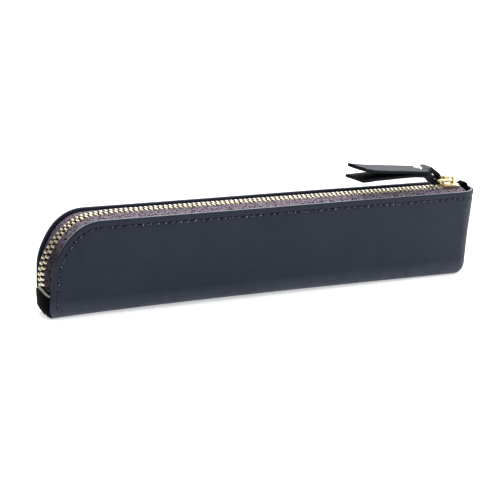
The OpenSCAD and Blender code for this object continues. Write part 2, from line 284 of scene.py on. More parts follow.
class Nodes:
    """Short words for building a node material."""

    def __init__(self, name):
        self.material = bpy.data.materials.new(name)
        self.material.use_nodes = True
        self.tree = self.material.node_tree
        self.shader = self.tree.nodes["Principled BSDF"]

    def add(self, kind, values=None, **settings):
        node = self.tree.nodes.new(kind)
        for key, value in settings.items():
            setattr(node, key, value)
        for key, value in (values or {}).items():
            if isinstance(value, bpy.types.NodeSocket):
                self.tree.links.new(value, node.inputs[key])
            else:
                node.inputs[key].default_value = value
        return node

    def place(self, kind="Object"):
        return self.add("ShaderNodeTexCoord").outputs[kind]

    def noise(self, scale, detail=4.0, roughness=0.55, place=None):
        values = {"Vector": place or self.place(), "Scale": scale, "Detail": detail,
                  "Roughness": roughness}
        return self.add("ShaderNodeTexNoise", values).outputs["Fac"]

    def cells(self, scale, place):
        return self.add("ShaderNodeTexVoronoi", {"Vector": place, "Scale": scale}).outputs["Distance"]

    def low_down(self, start, full, most=1.0):
        """A share that grows from nothing at one height, in metres, to the most at a lower one."""
        height = self.add("ShaderNodeSeparateXYZ", {"Vector": self.place()}).outputs["Z"]
        return self.add("ShaderNodeMapRange", {"Value": height, "From Min": start, "From Max": full,
                                               "To Min": 0.0, "To Max": most}).outputs[0]

    def ramp(self, value, stops):
        node = self.add("ShaderNodeValToRGB", {"Fac": value})
        ramp = node.color_ramp
        while len(ramp.elements) < len(stops):
            ramp.elements.new(0.5)
        for element, (at, colour) in zip(ramp.elements, stops):
            element.position = at
            if isinstance(colour, (int, float)):
                colour = (colour, colour, colour)
            element.color = (*colour, 1.0)
        return node.outputs["Color"]

    def math(self, operation, a, b=0.0):
        node = self.tree.nodes.new("ShaderNodeMath")
        node.operation = operation
        for socket, value in zip(node.inputs, (a, b)):
            if isinstance(value, bpy.types.NodeSocket):
                self.tree.links.new(value, socket)
            else:
                socket.default_value = value
        return node.outputs[0]

    def blend(self, factor, a, b):
        node = self.add("ShaderNodeMix", data_type="RGBA")
        for key, value in (("Factor", factor), ("A", a), ("B", b)):
            socket = [s for s in node.inputs if s.name == key and s.enabled][0]
            if isinstance(value, bpy.types.NodeSocket):
                self.tree.links.new(value, socket)
            elif isinstance(value, tuple):
                socket.default_value = (*value, 1.0)
            else:
                socket.default_value = value
        return [s for s in node.outputs if s.enabled][0]

    def bump(self, height, strength, distance, under=None):
        values = {"Height": height, "Strength": strength, "Distance": distance}
        if under:
            values["Normal"] = under
        return self.add("ShaderNodeBump", values).outputs["Normal"]

    def finish(self, colour=None, roughness=None, normal=None, **fixed):
        for key, value in (("Base Color", colour), ("Roughness", roughness), ("Normal", normal)):
            if isinstance(value, bpy.types.NodeSocket):
                self.tree.links.new(value, self.shader.inputs[key])
            elif isinstance(value, tuple):
                self.shader.inputs[key].default_value = (*value, 1.0)
            elif value is not None:
                self.shader.inputs[key].default_value = value
        for key, value in fixed.items():
            self.shader.inputs[key.replace("_", " ")].default_value = value
        return self.material


def leather_material(name, dark, light, gloss=0.50, wear=None, specular=0.22):
    """Smooth leather: clouded colour, fine pores and creases, and a paler base, partly worn and partly
    painted light on the bend underneath, which turns down into shade.
    """
    n = Nodes(name)
    place = n.place()
    clouds = n.noise(38.0, 5.0, 0.6, place)
    colour = n.ramp(clouds, [(0.3, dark), (0.72, light)])
    mottle = n.noise(900.0, 3.0, 0.6, place)
    colour = n.blend(n.math("MULTIPLY", mottle, 0.32), colour, tuple(c * 1.9 for c in light))
    specks = n.ramp(n.noise(640.0, 2.0, 0.5, place), [(0.74, 0.0), (0.80, 0.5)])
    colour = n.blend(specks, colour, tuple(c * 2.6 for c in light))
    if wear:
        # Paler towards the base: partly rubbed wear, partly painted light that lifts the shaded underside
        # of the bend.
        base_rub_and_light = n.math("MULTIPLY", n.low_down(0.0080, 0.0002), n.noise(120.0, 5.0, 0.7, place))
        colour = n.blend(base_rub_and_light, colour, wear)
    pores = n.cells(1900.0, place)
    creases = n.noise(520.0, 8.0, 0.62, place)
    grain = n.bump(pores, 0.22, 0.00012)
    grain = n.bump(creases, 0.30, 0.00022, grain)
    grain = n.bump(n.noise(70.0, 2.0, 0.5, place), 0.25, 0.0009, grain)
    rough = n.ramp(n.noise(300.0, 4.0, 0.6, place), [(0.25, gloss - 0.06), (0.8, gloss + 0.10)])
    return n.finish(colour, rough, grain, Specular_IOR_Level=specular)


def edge_material(name, dark, light, low_painted_shade=False):
    """Cut edge of the leather, smoothed by rubbing, with fibres along it; its pale colour is partly the
    edge's own tone and partly a painted highlight. One with painted shade is painted dark low down, down
    the end, which lies in shade.
    """
    n = Nodes(name)
    place = n.place()
    fibres = n.noise(1600.0, 4.0, 0.7, place)
    colour = n.ramp(fibres, [(0.3, dark), (0.7, light)])
    if low_painted_shade:
        # Painted shade: the edge goes dark below the corner, down the end, which faces away from the
        # light.
        colour = n.blend(n.low_down(0.036, 0.026), colour, (0.012, 0.013, 0.025))
    rough = n.ramp(n.noise(500.0, 3.0, 0.5, place), [(0.3, 0.42), (0.7, 0.6)])
    return n.finish(colour, rough, n.bump(fibres, 0.4, 0.0001), Specular_IOR_Level=0.25)


def thread_material(name, dark, light):
    """Waxed thread, with paler fibres; the pale version of it paints the highlight where a stitch comes
    out of its hole.
    """
    n = Nodes(name)
    fibres = n.noise(1300.0, 3.0, 0.6)
    colour = n.ramp(fibres, [(0.50, dark), (0.66, light)])
    rough = n.ramp(fibres, [(0.3, 0.38), (0.7, 0.62)])
    return n.finish(colour, rough, n.bump(fibres, 0.4, 0.00008), Specular_IOR_Level=0.25)


def weave_material(name, dark, light, thread, fleck, low_painted_shade=0.0):
    """Woven cloth on a piece whose UV is in metres: threads cross, each with its own tone.
    It is painted darker low down, by the given share, as shade down the case's end."""
    n = Nodes(name)
    split = n.add("ShaderNodeSeparateXYZ", {"Vector": n.place("UV")})
    turns = math.pi / thread
    along = n.math("SINE", n.math("MULTIPLY", split.outputs["X"], turns))
    across = n.math("SINE", n.math("MULTIPLY", split.outputs["Y"], turns * 0.8))
    crossing = n.math("MULTIPLY", along, across)
    over = n.ramp(crossing, [(0.42, 0.0), (0.58, 1.0)])
    warp, weft = (n.math("POWER", n.math("ABSOLUTE", wave), 0.6) for wave in (along, across))
    height = n.blend(over, warp, weft)
    flecks = n.noise(1250.0, 1.0, 0.5)
    tone = n.math("ADD", n.math("MULTIPLY", height, 0.30), n.math("MULTIPLY", flecks, 0.80))
    colour = n.ramp(tone, [(0.55, dark), (0.60, light), (0.67, fleck)])
    # Painted shade: darker low down, down the end, which lies in shade.
    colour = n.blend(n.low_down(0.0375, 0.026, low_painted_shade), colour, tuple(c * 0.8 for c in dark))
    fuzz = n.bump(n.noise(3800.0, 2.0, 0.6), 0.25, 0.00006)
    return n.finish(colour, 0.85, n.bump(height, 0.9, 0.00018, fuzz), Sheen_Weight=0.05,
                    Sheen_Roughness=0.5, Specular_IOR_Level=0.15)


def metal_material(name, dull, bright, rough, scratch=0.12):
    """Polished metal with faint wear in its gloss and colour."""
    n = Nodes(name)
    place = n.place()
    wear = n.noise(420.0, 5.0, 0.65, place)
    colour = n.ramp(wear, [(0.3, dull), (0.65, bright)])
    gloss = n.ramp(n.noise(1200.0, 4.0, 0.6, place), [(0.3, rough), (0.75, rough + scratch)])
    normal = n.bump(n.noise(2500.0, 3.0, 0.6, place), 0.12, 0.00004)
    return n.finish(colour, gloss, normal, Metallic=1.0)


# The navy's pale base colour is partly wear and partly painted light on the bend's underside.
NAVY = leather_material("navy_leather", (0.0040, 0.0074, 0.0172), (0.0092, 0.0142, 0.0285),
                        wear=(0.085, 0.098, 0.130))
PULL_NAVY = leather_material("pull_leather", (0.0065, 0.0100, 0.0200), (0.0140, 0.0185, 0.0320), 0.50,
                             specular=0.18)
PULL_EDGE = leather_material("pull_edge", (0.0016, 0.0024, 0.0046), (0.0046, 0.0064, 0.0110), 0.6,
                             specular=0.10)
# The pull's inner faces: the flesh side's darker tone, and painted shade between the plies.
FLESH_AND_SHADE = leather_material("pull_inside_painted_shade", (0.0018, 0.0020, 0.0030), (0.0050, 0.0055, 0.0080), 0.7,
                         specular=0.08)
# Painted shade: the same navy leather, painted near black for parts that lie in shade: the zip's end tabs
# and the panels' cut ends.
NAVY_IN_SHADE = leather_material("dark_leather", (0.0006, 0.0007, 0.0014), (0.0018, 0.0021, 0.0036), 0.6,
                         specular=0.015)
# Pale cut edges: partly their own tone, partly a painted highlight; the panel's edge is also painted dark
# low down as shade.
PANEL_EDGE_HIGHLIGHT = edge_material("panel_edge_painted_highlight", (0.130, 0.150, 0.175), (0.460, 0.520, 0.580), True)
TAB_EDGE_HIGHLIGHT = edge_material("tab_edge_painted_highlight", (0.180, 0.160, 0.130), (0.560, 0.520, 0.440))
THREAD = thread_material("waxed_thread", (0.0012, 0.0016, 0.0035), (0.120, 0.135, 0.170))
# Painted highlight: pale thread where each stitch comes out of its hole.
THREAD_GLINT = thread_material("thread_painted_glint", (0.060, 0.070, 0.090), (0.380, 0.410, 0.460))
# The zip tape takes painted shade low down, at a share of 0.88.
TAPE_CLOTH = weave_material("zip_tape", (0.0070, 0.0030, 0.0072), (0.036, 0.015, 0.037), 0.0006,
                            (0.37, 0.30, 0.37), 0.88)
LINING_CLOTH = weave_material("lining_cloth", (0.010, 0.010, 0.014), (0.030, 0.030, 0.038), 0.0004,
                              (0.05, 0.05, 0.06))
TEETH = metal_material("teeth_metal", (0.42, 0.36, 0.22), (0.82, 0.75, 0.58), 0.26)
GOLD = metal_material("slider_gold", (0.74, 0.59, 0.30), (0.97, 0.84, 0.55), 0.16)
STEEL = metal_material("spring_steel", (0.42, 0.42, 0.43), (0.66, 0.66, 0.67), 0.3)
CHROME = metal_material("rivet_metal", (0.86, 0.87, 0.89), (0.97, 0.97, 0.98), 0.12, 0.06)

# ---- Leather panels and lining ----

# Columns of a sheet: round the corner, along the straight and round the turn
PANEL_COLS, LINING_COLS = (44, 190, 26), (14, 24, 12)
BASE_ROWS, BEND_ROWS = 6, 7
EDGE_BAND = 8.0                         # band below the zip edge that has the fine rows
BAND_ROWS, WALL_ROWS = 26, 26
ROUND = 0.5                             # rounding of the leather's cut edges
RIM_CROWN = 0.10                        # how far the cut edge stands out in its middle
FRONT_SEED, BACK_SEED = 3.1, 7.7        # unevenness of each panel, which its stitches follow


def side_fractions(height):
    """Heights of the rows on a side, as shares, closer together near the zip edge."""
    band = EDGE_BAND / height
    wall = [(1 - band) * k / WALL_ROWS for k in range(WALL_ROWS)]
    fine = [1 - band * (1 - k / BAND_ROWS) ** 1.35 for k in range(BAND_ROWS + 1)]
    return wall + fine


SIDE_ROWS = side_fractions(HEIGHT - BASE_BEND)


def bend_r(turn):
    """Radius of the bend at the base, wider round the seam end."""
    return BASE_BEND + (END_BEND - BASE_BEND) * math.sin(turn) ** 2


def column_list(counts):
    """Columns of a sheet: (kind, share). Corner and straight ones lie along X, turn ones swing."""
    corner, straight, turn = counts
    cols = [("corner", k / corner) for k in range(corner)]
    cols += [("straight", k / straight) for k in range(straight)]
    return cols + [("turn", k / turn) for k in range(turn + 1)]


def column_point(col, reach, z, inset):
    """The point at a distance out from the middle, in a column, at a height."""
    kind, share = col
    if kind == "corner":
        return CORNER_X - (CORNER_RX - inset) * math.cos(share * math.pi / 2), -reach, z
    middle = turn_x(z)
    if kind == "straight":
        return mix(CORNER_X, middle, share), -reach, z
    a = share * math.pi / 2
    return middle + reach * math.sin(a), -reach * math.cos(a), z


def base_lift(x, z):
    """How far the arched base lifts a place."""
    along = min(max((x - EDGE_X) / (SEAM_X - EDGE_X), 0.0), 1.0)
    return BASE_BOW * math.sin(math.pi * along ** 0.75) * max(1 - z / HEIGHT, 0.0) ** 2


def stitch_dent(s, inset):
    """How deep the thread pulls the leather in: a shallow trough, deeper at each hole."""
    off = inset - STITCH_INSET
    if abs(off) > 2.2 or s > STRAIGHT + CORNER_RUN + CORNER_Z - 2:
        return 0.0
    along = (s - STITCH_FIRST + STITCH_PITCH / 2) % STITCH_PITCH
    to_hole = min(along, STITCH_PITCH - along)
    return 0.17 * bell(off / 0.62) + 0.24 * bell(off / 0.34) * bell(to_hole / 0.42)


def wander(x, z, seed):
    """Slow unevenness of the leather, none of it at the base."""
    grow = smooth((z - 1) / 10)
    slow = noise.noise(Vector((x / 46, z / 30, seed)))
    quick = noise.noise(Vector((x / 17, z / 13, seed + 9)))
    return grow * (0.34 * slow + 0.09 * quick)


def rounding(inset):
    """How far a face falls away towards the leather's cut edge."""
    if inset >= ROUND:
        return 0.0
    return ROUND - math.sqrt(max(ROUND * ROUND - (ROUND - inset) ** 2, 0.0))


def face_relief(x, z, share_turn, seed, outer):
    """How far a face lies inside its plain shape."""
    s, inset = path_place(x, z)
    dip = wander(x, z, seed)
    if not outer:
        return dip - min(rounding(inset), LEATHER * 0.4)
    seam = 0.5 * bell((1 - share_turn) * 90 / 5.5) if share_turn else 0.0
    roll = -0.12 * bell((inset - 1.3) / 0.9)
    return dip + min(rounding(inset), LEATHER * 0.45) + stitch_dent(s, inset) + seam + roll


def skin_column(col, depth, inset, seed, outer, relief=True):
    """Points of one column, from the middle of the base, round the bend and up to the edge."""
    kind, share = col
    turn = share * math.pi / 2 if kind == "turn" else 0.0
    swing = share if kind == "turn" else 0.0
    r = bend_r(turn)
    flat = half_width(r) - r
    if kind == "turn":
        bend = (turn_x(r) + flat * math.sin(turn), -flat * math.cos(turn), depth)
        end_start = turn_x(END_BEND) + 0.6 * (half_width(END_BEND) - END_BEND)
        start = (mix(turn_x(BASE_BEND), end_start, share), 0.0, depth)
    elif kind == "straight":
        bend = (mix(CORNER_X, turn_x(BASE_BEND), share), -flat, depth)
        start = (bend[0], 0.0, depth)
    else:
        bend = column_point(col, flat, depth, inset)
        start = (bend[0], 0.0, depth)
    points = []
    for k in range(BASE_ROWS):
        t = (k / BASE_ROWS) ** 1.6
        x, y = mix(start[0], bend[0], t), mix(start[1], bend[1], t)
        groove = 0.45 * bell(y / 0.55) if outer else 0.0
        points.append((x, y, depth + groove))
    middle = turn_x(r)
    for k in range(BEND_ROWS):
        a = math.pi / 2 * k / BEND_ROWS
        reach = flat + (r - depth) * math.sin(a)
        z = r - (r - depth) * math.cos(a)
        if kind == "turn":
            points.append((middle + reach * math.sin(turn), -reach * math.cos(turn), z))
        else:
            points.append((bend[0], -reach, z))
    x_here = bend[0]
    top = edge_z(x_here, inset) if kind == "corner" else HEIGHT - inset
    for fraction in SIDE_ROWS:
        z = mix(r, top, fraction)
        flat_point = column_point(col, half_width(z) - depth, z, inset)
        dip = face_relief(flat_point[0], z, swing, seed, outer) if relief else 0.0
        points.append(column_point(col, half_width(z) - depth - dip, z, inset))
    return [(x, y, z + base_lift(x, z)) for x, y, z in points]


def rim_points(outer, inner):
    """Points across the cut edge of the leather, crowned a little."""
    points = []
    for t in (0.3, 0.7):
        p = [mix(a, b, t) for a, b in zip(outer, inner)]
        s = path_place(p[0], p[2])[0]
        x, z = on_path(s, -RIM_CROWN) if s <= STRAIGHT + CORNER_RUN else (EDGE_X - RIM_CROWN, p[2])
        points.append((x if s > STRAIGHT else p[0], p[1], z))
    return points


def flipped(points, side):
    return points if side < 0 else [(x, -y, z) for x, y, z in points]


def panel(name, side, seed):
    """One leather panel: front for side -1, back for side 1."""
    rings = []
    for col in column_list(PANEL_COLS):
        outer = skin_column(col, 0.0, 0.0, seed, True)
        inner = skin_column(col, LEATHER, 0.0, seed, False)
        rings.append(flipped(outer + rim_points(outer[-1], inner[-1]) + inner[::-1], side))
    rows = len(rings[0]) // 2 - 1
    points, faces = loft(rings, caps=False)
    count = len(rings[0])
    where = []
    for j in range(len(rings) - 1):
        for i in range(count):
            where.append(1 if rows - 1 <= i <= rows + 1 else 0)
    for j in (0, len(rings) - 1):
        start = j * count
        for i in range(rows):
            faces.append((start + i, start + i + 1, start + count - 2 - i, start + count - 1 - i))
            where.append(2)
    # Rims take the pale edge with its painted highlight; the sheet's cut ends take navy painted near black
    # as shade.
    return make(name, points, faces, [NAVY, PANEL_EDGE_HIGHLIGHT, NAVY_IN_SHADE], "case",
                [name.replace("shell", "panel")], where, 50)


def lining(name, side):
    """The cloth inside one panel."""
    rings = []
    for col in column_list(LINING_COLS):
        outer = skin_column(col, LINING_DEPTH, LINING_INSET, 0, False, False)
        inner = skin_column(col, LINING_DEPTH + LINING, LINING_INSET, 0, False, False)
        rings.append(flipped(outer + inner[::-1], side))
    points, faces = loft(rings, caps=False)
    count = len(rings[0])
    rows = count // 2
    for j in (0, len(rings) - 1):
        start = j * count
        for i in range(rows - 1):
            faces.append((start + i, start + i + 1, start + count - 2 - i, start + count - 1 - i))
    piece = make(name, points, faces, [LINING_CLOTH], "case", [name.replace("cloth", "lining")])
    lay_uv(piece, lambda p: (p.x, p.z))
    return piece


def lay_uv(piece, place):
    """UV in metres, from each point's place."""
    layer = piece.data.uv_layers.new(name="weave")
    for loop in piece.data.loops:
        layer.data[loop.index].uv = place(piece.data.vertices[loop.vertex_index].co)


panel("front_shell", -1, FRONT_SEED)
panel("back_shell", 1, BACK_SEED)
lining("front_cloth", -1)
lining("back_cloth", 1)

# ---- Stitching ----

THREAD_R = 0.3
STITCH_END_Z = 3.4                      # height below which there is no stitch at the zip's end
STITCH_SIDES = 10
GLINT_RINGS = (1, 2)                     # the lengths of a stitch by its hole, painted pale as a highlight


def stitch_line(s, side, seed):
    """Rings of one stitch: a twisted thread that comes out of one hole and goes into the next."""
    rings = []
    for k in range(13):
        t = k / 12 * 2 - 1
        at = s + t * (STITCH_PITCH / 2 - 0.25)
        x, z = on_path(at, STITCH_INSET)
        lift = 0.16 * (1 - t * t) - 0.5 * smooth((abs(t) - 0.72) / 0.28)
        surface = half_at(x, z, wander(x, z, seed) + 0.12) + lift
        tangent = path_turn(at)
        away = (math.sin(tangent), math.cos(tangent))
        ring = []
        for i in range(STITCH_SIDES):
            a = 2 * math.pi * i / STITCH_SIDES
            r = THREAD_R * (1 + 0.16 * math.cos(2 * (a - at * 5.5)))
            out, down = r * math.cos(a), r * math.sin(a)
            ring.append((x - down * away[0], side * (surface + out), z + down * away[1]))
        rings.append(ring)
    return loft(rings)


def stitching(name, side, seed):
    """A panel's row of stitches, along the top, round the corner and down the end."""
    last = STRAIGHT + CORNER_RUN + CORNER_Z - STITCH_END_Z
    count = int((last - STITCH_FIRST) / STITCH_PITCH) + 1
    parts = [stitch_line(STITCH_FIRST + k * STITCH_PITCH, side, seed) for k in range(count)]
    points, faces = joined(parts)
    # Faces next to each stitch's hole take the pale thread, a painted highlight.
    one = [1 if k // STITCH_SIDES in GLINT_RINGS else 0 for k in range(len(parts[0][1]))]
    return make(name, points, faces, [THREAD, THREAD_GLINT], "case",
                [name.replace("thread", "stitching")], one * count)


stitching("front_thread", -1, FRONT_SEED)
stitching("back_thread", 1, BACK_SEED)


def seam_thread():
    """Short threads across the hidden seam, along the arched base and up the end."""
    middle, reach = LEATHER / 2, 1.1
    places = []
    x = EDGE_X + 3
    while x < SEAM_X - END_BEND - 1:
        places.append((x, middle + base_lift(x, 0), 0.0))
        x += STITCH_PITCH
    z = END_BEND + 1
    while z < HEIGHT - 3:
        places.append((SEAM_X - middle, z, 1.0))
        z += STITCH_PITCH
    parts = []
    for x, z, end in places:
        rings = []
        for k in range(7):
            t = k / 3 - 1
            sink = 0.22 * t * t
            cx, cz = (x - sink, z) if end else (x, z + sink)
            ring = []
            for i in range(8):
                a = 2 * math.pi * i / 8
                r = THREAD_R * (1 + 0.12 * math.cos(2 * a - 5 * t))
                ring.append((cx + r * math.cos(a), t * reach, cz + r * math.sin(a)))
            rings.append(ring)
        parts.append(loft(rings))
    points, faces = joined(parts)
    make("seam_thread", points, faces, [THREAD], "case", ["seam_stitching"])


seam_thread()

# ---- Zip ----

TOOTH_OUTER = 2.3
TAPE_EDGE = TOOTH_OUTER - 0.6
TAPE_BEND = 1.6
TAPE_DEPTH = LEATHER + 0.35             # how far inside the panel's face the tape is sewn
TAPE_STEP, TAPE_PAST = 1.2, 4.5         # spacing of its sections, and its run past the last tooth


def tape_section(s, seed):
    """Middle line across a tape, as (distance from the middle, inset), and its thickness."""
    mid = chain_inset(s)
    x, z = on_path(s, TAPE_BEND)
    wall = half_at(x, z, TAPE_DEPTH)
    line, thick = [], []
    for k in range(15):
        f = k / 14
        ripple = 0.07 * math.sin(s * 0.55 + seed) * math.sin(math.pi * f)
        line.append((mix(TAPE_EDGE, wall, f), mid + (TAPE_BEND - mid) * f ** 2.2 + ripple, 1 - f))
        thick.append(mix(0.9, TAPE, smooth(f / 0.16)))
    for drop in (2.0, 2.8, 4.0, 5.2, 6.5):
        x, z = on_path(s, drop)
        line.append((half_at(x, z, TAPE_DEPTH), drop, 0.0))
        thick.append(TAPE)
    return line, thick


def tape(name, side, seed):
    """One half of the zip's tape, from beside its teeth to where it is sewn to the panel."""
    lead = TAPE_START - ZIP_START
    count = int((ZIP_RUN + TAPE_PAST + lead) / TAPE_STEP) + 1
    stations = [k * TAPE_STEP - lead for k in range(count)]
    rings, places = [], []
    for s in stations:
        line, thick = tape_section(s, seed)
        upper, lower, uv_up = [], [], []
        run = 0.0
        for k, (y, inset, loose) in enumerate(line):
            before, after = line[max(k - 1, 0)], line[min(k + 1, len(line) - 1)]
            dy, di = after[0] - before[0], after[1] - before[1]
            length = math.hypot(dy, di)
            ny, ni = di / length, -dy / length
            run += math.hypot(y - before[0], inset - before[1])
            for sign, row in ((1, upper), (-1, lower)):
                half = sign * thick[k] / 2
                x, z = on_path(s, inset + ni * half)
                row.append((x + chain_sink(s) * loose, side * (y + ny * half), z))
            uv_up.append((s * MM, run * MM))
        rings.append(upper + lower[::-1])
        places += uv_up + uv_up[::-1]
    points, faces = loft(rings)
    piece = make(name, points, faces, [TAPE_CLOTH], "case", [name.replace("webbing", "tape")])
    layer = piece.data.uv_layers.new(name="weave")
    for loop in piece.data.loops:
        layer.data[loop.index].uv = places[loop.vertex_index]
    return piece


# Sections along a tooth, from its legs to its head: (place, half length, half thickness)
TOOTH = ((-2.36, 0.40, 0.70), (-2.26, 0.53, 0.84), (-2.05, 0.57, 0.92), (-1.62, 0.57, 0.95),
         (-1.40, 0.54, 0.93), (-1.15, 0.43, 0.86), (-0.92, 0.41, 0.84), (-0.70, 0.46, 0.88),
         (-0.30, 0.47, 0.88), (-0.18, 0.43, 0.82), (-0.11, 0.30, 0.66))


def tooth(s, side, k):
    """One tooth, at a distance along the path, set a hair askew."""
    x, z = on_path(s, chain_inset(s))
    x += chain_sink(s)
    jitter = 0.03 * math.sin(k * 12.9898)
    turn = Matrix.Rotation(-path_turn(s) + jitter, 3, "Y")
    rings = []
    for place, half_long, half_thick in TOOTH:
        ring = []
        for a, b in oblong(half_long, half_thick, 12, 5.0):
            p = turn @ Vector((a, place + 0.4 * jitter, b))
            ring.append((p.x + x, side * -p.y, p.z + z))
        rings.append(ring)
    return loft(rings)


def teeth(name, side, first):
    count = int(ZIP_RUN / PITCH)
    points, faces = joined([tooth(first + k * PITCH, side, k) for k in range(count)])
    return make(name, points, faces, [TEETH], "case", [name.replace("elements", "teeth")])


tape("front_zip_webbing", -1, 0.4)
tape("back_zip_webbing", 1, 2.1)
teeth("front_zip_elements", -1, 0.0)
teeth("back_zip_elements", 1, PITCH / 2)


def clamp(stop):
    """A small pressed metal clamp that fills a stop's box."""
    low, high = (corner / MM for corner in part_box(stop))
    middle, half = (low + high) / 2, (high - low) / 2
    rings = []
    for t in (-1.0, -0.93, -0.75, 0.75, 0.93, 1.0):
        shrink = 1 - 0.22 * smooth((abs(t) - 0.7) / 0.3)
        rings.append([(middle.x + a * shrink, middle.y + t * half.y, middle.z + b * shrink)
                      for a, b in oblong(half.x, half.z, 16, 5.0)])
    points, faces = loft(rings)
    return make(stop + "_clamp", points, faces, [TEETH], "case", [stop])


for stop in ("front_top_stop", "back_top_stop", "bottom_stop"):
    clamp(stop)

# ---- Leather tabs at the zip's ends ----

TAB_HEIGHT, TAB_THICK = 9.5, 1.1
TONGUE = 2.4                            # how far the tab's middle reaches up over the chain
TAB_ROWS = 23


def base_half(z, depth):
    """Half the width at a height, round the bend at the base too, to a surface depth inside."""
    if z >= BASE_BEND:
        return half_width(z) - depth
    bend = math.sqrt(max((BASE_BEND - depth) ** 2 - (BASE_BEND - z) ** 2, 0.0))
    return half_width(BASE_BEND) - BASE_BEND + bend


def tab_ring(f):
    """Outline of the lower tab in a plane along the case: up its face, over its edge and down."""
    outer, inner = [], []
    tip = TAB_HEIGHT + TONGUE * (1 - f * f) ** 1.5
    for k in range(TAB_ROWS):
        z = mix(LEATHER + 0.1, tip, k / (TAB_ROWS - 1))
        half = base_half(z, LEATHER + 0.05)
        dome = END_BULGE * (1 - abs(f) ** 4) * mix(0.3, 1.0, smooth(z / TAB_HEIGHT))
        crown = 0.28 * smooth((z - tip + 0.6) / 0.6) ** 2
        x = EDGE_X - dome + 0.06 * noise.noise(Vector((f * 3, z / 4, 5.0)))
        outer.append((x + crown, f * half, z))
        inner.append((x + TAB_THICK - crown, f * half, z))
    top = ((outer[-1][0] + inner[-1][0]) / 2, outer[-1][1], tip + 0.08)
    return outer + [top] + inner[::-1]


def end_tab():
    """The leather tab that covers the zip's lower end."""
    rings = [tab_ring(math.sin(math.pi / 2 * k / 16)) for k in range(-16, 17)]
    points, faces = loft(rings)
    count = len(rings[0])
    ring = [1 if TAB_ROWS - 2 <= i <= TAB_ROWS else 0 for i in range(count)]
    where = ring * (len(rings) - 1) + [0, 0]
    # The tab is navy painted near black as shade; its top edge is painted pale as a highlight.
    return make("zip_end_cover", points, faces, [NAVY_IN_SHADE, TAB_EDGE_HIGHLIGHT], "case",
                ["zip_end_tab"], where)


def strip_ring(centre, out, half_wide, half_thick):
    """A leather strip's outline: centre and out are in the plane along the case."""
    return [(centre[0] + out[0] * b, a, centre[1] + out[1] * b)
            for a, b in oblong(half_wide, half_thick, 20, 7.0)]


def head_tab():
    """The leather strip that arches over the tapes' upper end."""
    low, high = (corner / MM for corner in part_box("zip_head_tab"))
    outer_r = (high.x - low.x) / 2
    thick = 1.2
    r = outer_r - thick / 2
    centre = (low.x + outer_r, high.z - outer_r)
    half = (high.y - low.y) / 2
    line = [((centre[0] - r, z), (-1.0, 0.0)) for z in (low.z, low.z + 1.0, centre[1] - 0.8)]
    for k in range(17):
        a = math.pi * (1 - k / 16)
        line.append(((centre[0] + r * math.cos(a), centre[1] + r * math.sin(a)),
                     (math.cos(a), math.sin(a))))
    line += [((centre[0] + r, z), (1.0, 0.0)) for z in (centre[1] - 0.8, centre[1] - 2.0)]
    points, faces = loft([strip_ring(c, o, half, thick / 2) for c, o in line])
    # The strip is navy painted near black as shade.
    return make("zip_head_cover", points, faces, [NAVY_IN_SHADE], "case", ["zip_head_tab"])


end_tab()
head_tab()

# ---- Slider ----

slider_low, slider_high = (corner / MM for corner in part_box("slider_body"))
PLATE = 0.9
SLIDER_PLAN = ((0.0, 2.75), (0.25, 3.05), (1.2, 3.15), (3.2, 3.30), (4.6, 3.55), (5.6, 3.74),
               (6.5, 3.72), (7.2, 3.45), (7.7, 3.15), (8.0, 2.8))
SLIDER_LENGTH = SLIDER_PLAN[-1][0]
CAMBER = 0.16                           # how far a plate's face rises in the middle of its length
CHANNEL = TOOTH_OUTER + 0.2


def plate_half(up):
    """One of the slider's plates, with the rails that hold the chain: up is 1 or -1."""
    face = slider_high.z if up > 0 else slider_low.z
    rail = 1.5 if up > 0 else 1.2
    rings = []
    for along, half in SLIDER_PLAN:
        lift = CAMBER * (1 - (2 * along / SLIDER_LENGTH - 1) ** 4)
        top = face - up * (CAMBER - lift)
        inner = min(CHANNEL, half - 0.35)
        section = [(-half, face - up * rail), (-half, top - up * 0.45), (-half + 0.2, top - up * 0.14),
                   (-half + 0.6, top), (0, top), (half - 0.6, top),
                   (half - 0.2, top - up * 0.14), (half, top - up * 0.45), (half, face - up * rail),
                   (inner, face - up * rail), (inner, face - up * PLATE), (-inner, face - up * PLATE),
                   (-inner, face - up * rail)]
        rings.append([(slider_low.x + along, y, z) for y, z in section])
    return loft(rings)


def slider_web():
    """Thin web in the slot of the chain, which joins the two plates at the open end."""
    x0, x1 = slider_high.x - 1.6, slider_high.x - 0.5
    low, high = slider_low.z + PLATE / 2, slider_high.z - PLATE / 2
    half = 0.07                         # narrower than the slot between the two rows of heads
    plan = [(x0, -half), (x1, -half), (x1, half), (x0, half)]
    return loft([[(x, y, z) for x, y in plan] for z in (low, high)])


def slider_piece():
    points, faces = joined([plate_half(1), plate_half(-1), slider_web()])
    piece = make("slider_casting", points, faces, [GOLD], "slider", ["slider_body"],
                 sharp=30)
    return soften(piece, 0.06, 2, 30)


